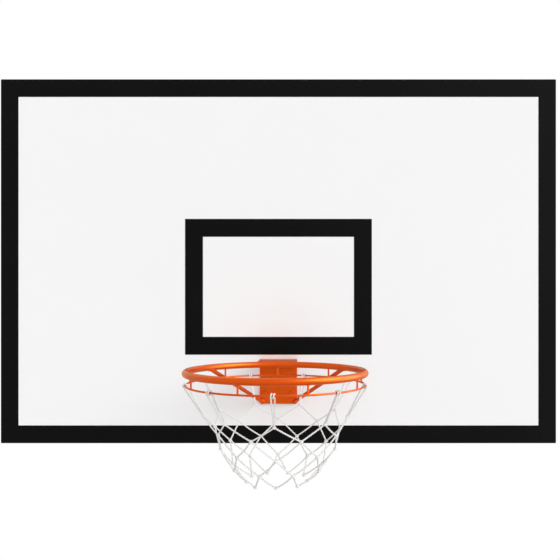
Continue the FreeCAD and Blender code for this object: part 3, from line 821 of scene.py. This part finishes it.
def makeScrew(look):
    bpy.ops.object.select_all(action="DESELECT")
    bpy.ops.mesh.primitive_cylinder_add(vertices=look["headSides"], radius=look["head"], depth=look["tall"],
                                        location=(0, 0, -look["tall"] / 2))
    screw = bpy.context.object
    bpy.ops.object.mode_set(mode="EDIT")
    bpy.ops.mesh.select_all(action="SELECT")
    bpy.ops.mesh.inset(thickness=look["inset"], depth=0.0)
    bpy.ops.object.mode_set(mode="OBJECT")
    bevel = screw.modifiers.new("easedRim", "BEVEL")
    bevel.width = look["ease"]
    bevel.segments = look["easeSteps"]
    bevel.limit_method = "ANGLE"
    bpy.ops.object.modifier_apply(modifier="easedRim")
    for wide, tall in ((look["crossWide"], look["crossLong"]), (look["crossLong"], look["crossWide"])):
        bpy.ops.object.select_all(action="DESELECT")
        bpy.ops.mesh.primitive_cube_add(size=1.0, scale=(wide, tall, look["crossDeep"] * 2))
        blade = bpy.context.object
        pick(screw)
        recess = screw.modifiers.new("recess", "BOOLEAN")
        recess.object = blade
        recess.operation = "DIFFERENCE"
        bpy.ops.object.modifier_apply(modifier="recess")
        bpy.data.objects.remove(blade, do_unlink=True)
    bpy.ops.object.select_all(action="DESELECT")
    bpy.ops.mesh.primitive_cone_add(vertices=look["shankSides"], radius1=look["shank"] * look["tipShare"],
                                    radius2=look["shank"], depth=look["length"],
                                    location=(0, 0, -look["tall"] - look["length"] / 2))
    return joinPieces([screw, bpy.context.object])


def makeScrews(look):
    screw = makeScrew(look)
    chance = random.Random(look["seed"])
    facing = Matrix.Rotation(math.radians(-90), 4, "X")
    copies = []
    for low, high in clusterBoxes("cleat_screws", look["apart"]):
        spot = Vector(((low.x + high.x) / 2, high.y, (low.z + high.z) / 2))
        turn = facing @ Matrix.Rotation(chance.uniform(0, math.tau), 4, "Z")
        copies.append(placeCopy("screw", screw, Matrix.Translation(spot) @ turn))
    bpy.data.objects.remove(screw, do_unlink=True)
    screws = finishPiece(joinPieces(copies), "panScrews", zincPlate)
    bpy.ops.object.shade_smooth_by_angle(angle=math.radians(look["smoothBelow"]))
    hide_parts("cleat_screws")
    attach(screws, "goal")
    print("screws set:", len(copies))


makeScrews(screwLook)


# camera where the photograph was taken: level, a little right of the middle, the horizon above the rim
view = dict(right=0.042, before=1.989, aboveFoot=0.4225, focal=614.0, frameWidth=560.0, sensor=36.0,
            axisAcross=291.4, axisDown=312.9, seesTo=100.0)


def makeCamera(look):
    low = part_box("board_panel")[0]
    data = bpy.data.cameras.new("photoCamera")
    data.sensor_width = look["sensor"]
    data.lens = look["focal"] / look["frameWidth"] * look["sensor"]
    data.shift_x = 0.5 - look["axisAcross"] / look["frameWidth"]
    data.shift_y = look["axisDown"] / look["frameWidth"] - 0.5
    data.clip_end = look["seesTo"]
    camera = bpy.data.objects.new("photoCamera", data)
    camera.location = (look["right"], low[1] - look["before"], low[2] + look["aboveFoot"])
    camera.rotation_euler = (math.radians(90), 0, 0)
    bpy.context.collection.objects.link(camera)
    bpy.context.scene.camera = camera


# pale court floor at its real distance below the board, fading into the white round it
floorLook = dict(below=2.9, radius=5.0, sides=96, pale=colour(0.62, 0.62, 0.62), rough=0.8, fade=(1.2, 4.6))


def makeFloor(look):
    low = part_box("board_panel")[0]
    bpy.ops.object.select_all(action="DESELECT")
    bpy.ops.mesh.primitive_circle_add(vertices=look["sides"], radius=look["radius"], fill_type="NGON",
                                      location=(0, low[1], low[2] - look["below"]))
    floor = bpy.context.object
    floor.name = "paleFloor"
    bpy.ops.object.transform_apply(location=True, rotation=True, scale=True)
    material, tree, shader = newMaterial("paleFloor")
    spot = splitVector(tree, addNode(tree, "ShaderNodeTexCoord").outputs["Object"])
    across = mathNode(tree, "POWER", spot["X"], 2.0)
    along = mathNode(tree, "POWER", spot["Y"], 2.0)
    away = mathNode(tree, "SQRT", mathNode(tree, "ADD", across, along))
    fade = ramp(tree, away, *look["fade"])
    shader.inputs["Base Color"].default_value = look["pale"]
    shader.inputs["Roughness"].default_value = look["rough"]
    glow = addNode(tree, "ShaderNodeEmission")
    mix = addNode(tree, "ShaderNodeMixShader")
    seen = addNode(tree, "ShaderNodeLightPath").outputs["Is Camera Ray"]
    tree.links.new(mathNode(tree, "MULTIPLY", seen, fade), mix.inputs[0])
    tree.links.new(shader.outputs[0], mix.inputs[1])
    tree.links.new(glow.outputs[0], mix.inputs[2])
    tree.links.new(mix.outputs[0], tree.nodes["Material Output"].inputs["Surface"])
    floor.data.materials.append(material)


# key from the right, a wide front lamp without shine, a side card that gives only shine, and one behind
lightLook = dict(fill=0.36, shown=1.0, suns=[
    dict(name="keySun", power=1.5, spread=34.0, towards=(-0.8, 0.36, -0.48), lights=True, shines=True),
    dict(name="frontSun", power=1.56, spread=120.0, towards=(0.05, 0.95, -0.3), lights=True, shines=False),
    dict(name="sideCard", power=5.2, spread=84.0, towards=(-0.92, 0.1, -0.36), lights=False, shines=True),
    dict(name="backSun", power=1.7, spread=70.0, towards=(0.3, -0.8, -0.5), lights=True, shines=True)])


def makeLight(look):
    world = bpy.data.worlds.new("softStudio")
    bpy.context.scene.world = world
    world.use_nodes = True
    tree = world.node_tree
    back = tree.nodes["Background"]
    back.inputs["Color"].default_value = colour(1, 1, 1)
    path = addNode(tree, "ShaderNodeLightPath")
    shown = mathNode(tree, "ADD", path.outputs["Is Camera Ray"], path.outputs["Is Glossy Ray"])
    shown = mathNode(tree, "ADD", shown, path.outputs["Is Transmission Ray"], clamp=True)
    tree.links.new(spread(tree, shown, look["fill"], look["shown"]), back.inputs["Strength"])
    for sun in look["suns"]:
        data = bpy.data.lights.new(sun["name"], "SUN")
        data.energy = sun["power"]
        data.angle = math.radians(sun["spread"])
        lamp = bpy.data.objects.new(sun["name"], data)
        lamp.rotation_euler = Vector(sun["towards"]).to_track_quat("-Z", "Y").to_euler()
        lamp.visible_diffuse = sun["lights"]
        lamp.visible_glossy = sun["shines"]
        bpy.context.collection.objects.link(lamp)


makeCamera(view)
makeFloor(floorLook)
makeLight(lightLook)
bpy.context.scene.view_settings.view_transform = "Standard"
print("camera, floor and light set")
